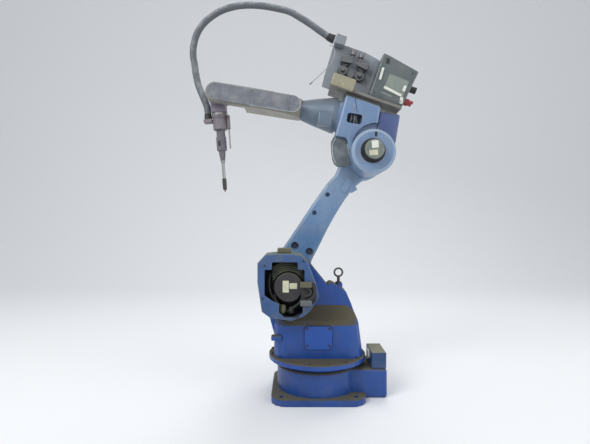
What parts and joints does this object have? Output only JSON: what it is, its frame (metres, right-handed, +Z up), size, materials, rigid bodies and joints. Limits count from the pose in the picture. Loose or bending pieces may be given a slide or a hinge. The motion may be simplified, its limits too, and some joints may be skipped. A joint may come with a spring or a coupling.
{
  "type": "industrial robot arm",
  "caption": "Blue jointed arc-welding robot arm on a round base, with a hollow motor housing at the shoulder, a wire feeder on the elbow and a torch on the wrist.",
  "frame": {"origin": "centre of the base's mounting face, on the first joint's axis", "axes": "+Z up along the first joint's axis; the forearm reaches towards -X, and the shoulder motor is on the -Y side"},
  "size_m": [0.9514, 0.4046, 1.6224],
  "materials": {
    "blue_enamel": "satin enamel over cast iron and aluminium, dusty on its ledges",
    "hazy_blue_enamel": "satin enamel, hazed by dust",
    "black_motor": "black baked enamel",
    "dark_green_enamel": "dark grey-green enamel",
    "beige_enamel": "pale plate under settled dust",
    "machined_steel": "machined",
    "grey_cover": "matt grey",
    "black_rubber": "matt",
    "red_fitting": "moulded red",
    "copper_tip": "copper alloy, heat-darkened"
  },
  "bodies": {
    "base_group": {"base_casting": "blue_enamel", "base_connector_box": "blue_enamel", "base_connector": "grey_cover"},
    "head_group": {"head_casting": "blue_enamel", "head_side_cover": "blue_enamel", "shoulder_motor_housing": "blue_enamel", "shoulder_motor": "black_motor", "shoulder_motor_plug": "black_motor", "shoulder_motor_lower_plug": "machined_steel", "shoulder_motor_hose": "black_rubber", "shoulder_top_plate": "beige_enamel", "lifting_eye": "machined_steel"},
    "lower_link": {"lower_arm": "hazy_blue_enamel", "shoulder_reducer_cap": "hazy_blue_enamel", "elbow_reducer_cap": "hazy_blue_enamel"},
    "upper_link": {"elbow_casting": "blue_enamel", "elbow_motor": "black_motor", "elbow_rear_housing": "dark_green_enamel", "elbow_cable_cover": "black_rubber", "feeder_bracket": "beige_enamel", "feeder_base": "beige_enamel", "feeder_side_bracket": "beige_enamel", "feeder_drive_plate": "dark_green_enamel", "feeder_box": "dark_green_enamel", "feeder_drive_roll_front": "machined_steel", "feeder_drive_roll_rear": "machined_steel", "feeder_pressure_roll_front": "machined_steel", "feeder_pressure_roll_rear": "machined_steel", "feeder_pinion": "machined_steel", "feeder_motor": "black_motor", "feeder_pressure_arm_front": "grey_cover", "feeder_pressure_arm_rear": "grey_cover", "feeder_tension_knob_front": "machined_steel", "feeder_tension_knob_rear": "machined_steel", "feeder_outlet": "black_motor", "feeder_inlet": "black_motor", "feeder_gas_fitting_1": "red_fitting", "feeder_gas_fitting_2": "red_fitting", "torch_cable": "black_rubber"},
    "forearm_group": {"forearm_cone": "hazy_blue_enamel", "forearm_arm": "hazy_blue_enamel", "forearm_side_cover": "grey_cover"},
    "wrist_group": {"wrist_housing": "black_motor"},
    "tool_group": {"tool_flange": "machined_steel", "torch_mount": "grey_cover", "torch_collar": "grey_cover", "torch_body": "black_motor", "torch_tube": "machined_steel", "torch_nozzle": "copper_tip", "contact_tip": "copper_tip", "torch_bracket": "machined_steel", "torch_rod": "machined_steel", "torch_cable_clamp": "grey_cover", "torch_cable_boot": "black_rubber"}
  },
  "joints": [
    {"name": "base_turn", "type": "hinge", "parent": "base_group", "child": "head_group", "pos_m": [0, 0, 0], "axis": [0, 0, 1], "range_deg": [-170, 170]},
    {"name": "lower_arm_swing", "type": "hinge", "parent": "head_group", "child": "lower_link", "pos_m": [-0.117, 0, 0.45], "axis": [0, -1, 0], "range_deg": [-58.6, 121.4]},
    {"name": "upper_arm_swing", "type": "hinge", "parent": "lower_link", "child": "upper_link", "pos_m": [0.2029, 0, 0.9741], "axis": [0, 1, 0], "range_deg": [-30, 139.4]},
    {"name": "forearm_roll", "type": "hinge", "parent": "upper_link", "child": "forearm_group", "pos_m": [0.2268, 0, 1.1202], "axis": [-0.9869, 0, 0.1616], "range_deg": [-150, 150], "deforming": ["torch_cable"]},
    {"name": "wrist_bend", "type": "hinge", "parent": "forearm_group", "child": "wrist_group", "pos_m": [-0.4146, 0, 1.2252], "axis": [0, 1, 0], "range_deg": [-21.4, 228.6]},
    {"name": "flange_turn", "type": "hinge", "parent": "wrist_group", "child": "tool_group", "pos_m": [-0.4092, 0, 1.1534], "axis": [0.075, 0, -0.9972], "range_deg": [-200, 200]}
  ]
}
